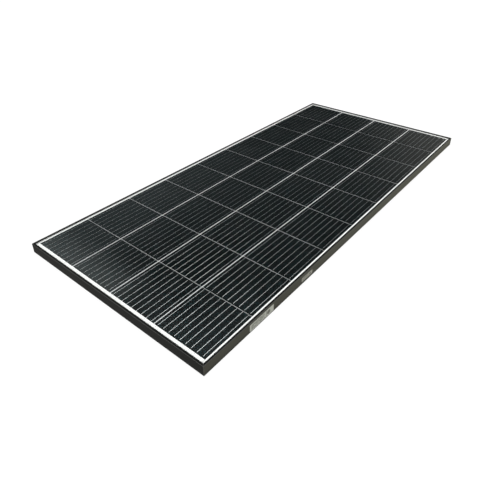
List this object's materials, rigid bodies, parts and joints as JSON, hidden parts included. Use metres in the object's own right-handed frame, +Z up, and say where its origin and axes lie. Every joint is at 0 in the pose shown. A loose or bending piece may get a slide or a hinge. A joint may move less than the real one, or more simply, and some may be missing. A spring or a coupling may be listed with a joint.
{
  "type": "solar panel",
  "caption": "Framed monocrystalline solar panel with full-square cells under flat glass, black anodised frame, white backsheet and a rear junction box with cable glands.",
  "frame": {"origin": "centre of the underside of the frame, on the plane the frame rests on", "axes": "+X along the long side, towards the junction-box end; +Y along the short side; +Z up, out of the glass"},
  "size_m": [1.48, 0.6701, 0.03],
  "materials": {
    "anodised_black": "black anodised, satin",
    "cast_aluminium": "die cast, bare",
    "sealant_black": "matt silicone",
    "front_glass": "clear low-iron, lightly textured",
    "encapsulant": "clear cured film",
    "silicon": "textured monocrystalline silicon, dark",
    "tinned_copper": "tinned, bright",
    "white_film": "white film",
    "box_plastic": "fine moulded grain",
    "soft_rubber": "matt",
    "zinc_steel": "zinc plated",
    "terminal_brass": "nickel-tinted brass",
    "diode_epoxy": "moulded epoxy",
    "vent_plastic": "matt",
    "silver_label": "printed silver film",
    "grey_label": "printed grey film"
  },
  "bodies": {
    "panel": {"frame_rail_front": "anodised_black", "frame_rail_rear": "anodised_black", "frame_rail_left": "anodised_black", "frame_rail_right": "anodised_black", "corner_key_front_left": "cast_aluminium", "corner_key_front_right": "cast_aluminium", "corner_key_rear_left": "cast_aluminium", "corner_key_rear_right": "cast_aluminium", "edge_seal": "sealant_black", "glass_sheet": "front_glass", "encapsulant_front": "encapsulant", "cell_string_1": "silicon", "cell_string_2": "silicon", "cell_string_3": "silicon", "cell_string_4": "silicon", "wires_string_1": "tinned_copper", "wires_string_2": "tinned_copper", "wires_string_3": "tinned_copper", "wires_string_4": "tinned_copper", "bus_link_1_2": "tinned_copper", "bus_link_3_4": "tinned_copper", "bus_link_2_3": "tinned_copper", "bus_output_1": "tinned_copper", "bus_output_4": "tinned_copper", "bus_cover_left": "white_film", "bus_cover_right": "white_film", "lead_insulator": "white_film", "encapsulant_rear": "encapsulant", "backsheet": "white_film", "junction_pad": "sealant_black", "junction_base": "box_plastic", "hinge_pin": "zinc_steel", "terminal_1": "terminal_brass", "terminal_2": "terminal_brass", "terminal_3": "terminal_brass", "terminal_screw_1": "zinc_steel", "terminal_screw_2": "zinc_steel", "terminal_screw_3": "zinc_steel", "bypass_diode_1": "diode_epoxy", "bypass_diode_2": "diode_epoxy", "gland_body_1": "box_plastic", "gland_body_2": "box_plastic", "gland_seal_1": "soft_rubber", "gland_seal_2": "soft_rubber", "vent_plug": "vent_plastic", "rating_label": "silver_label", "side_label_large": "grey_label", "side_label_small": "grey_label"},
    "lid": {"junction_lid": "box_plastic", "lid_gasket": "soft_rubber"},
    "nut_1": {"gland_nut_1": "box_plastic"},
    "nut_2": {"gland_nut_2": "box_plastic"}
  },
  "joints": [
    {"name": "junction_lid_hinge", "type": "hinge", "parent": "panel", "child": "lid", "pos_m": [0.6852, 0, 0.00752], "axis": [0, -1, 0], "range_deg": [0, 100]},
    {"name": "gland_nut_1_turn", "type": "hinge", "parent": "panel", "child": "nut_1", "pos_m": [0.58, -0.035, 0.014], "axis": [-1, 0, 0], "continuous": true},
    {"name": "gland_nut_2_turn", "type": "hinge", "parent": "panel", "child": "nut_2", "pos_m": [0.58, 0.035, 0.014], "axis": [-1, 0, 0], "continuous": true}
  ]
}
